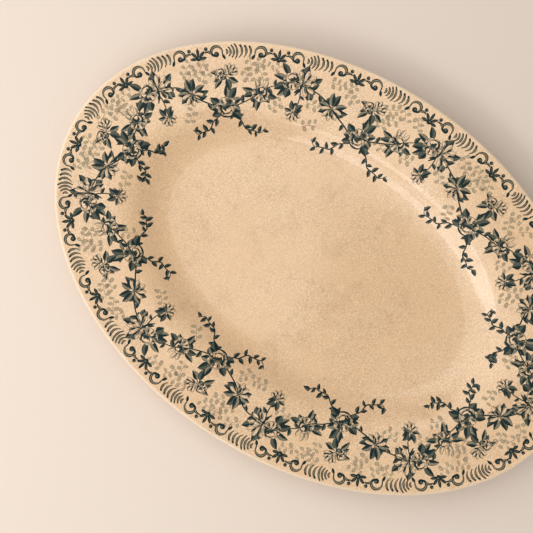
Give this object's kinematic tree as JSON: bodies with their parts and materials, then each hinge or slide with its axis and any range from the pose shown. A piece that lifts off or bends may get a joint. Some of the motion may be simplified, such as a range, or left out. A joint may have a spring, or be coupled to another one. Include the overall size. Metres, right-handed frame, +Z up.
{
  "type": "oval serving platter",
  "caption": "Large oval earthenware platter with a sloping rim, a shallow flat-floored well and a foot ring, printed round the rim with trailing flowers.",
  "frame": {"origin": "middle of the plane the foot ring rests on, under the centre of the well", "axes": "+X along the platter's length, +Y along its width, +Z up out of the well"},
  "size_m": [0.4, 0.277, 0.03],
  "materials": {
    "cream_glaze": "gloss"
  },
  "bodies": {
    "root": {"platter_body": "cream_glaze"}
  },
  "joints": []
}
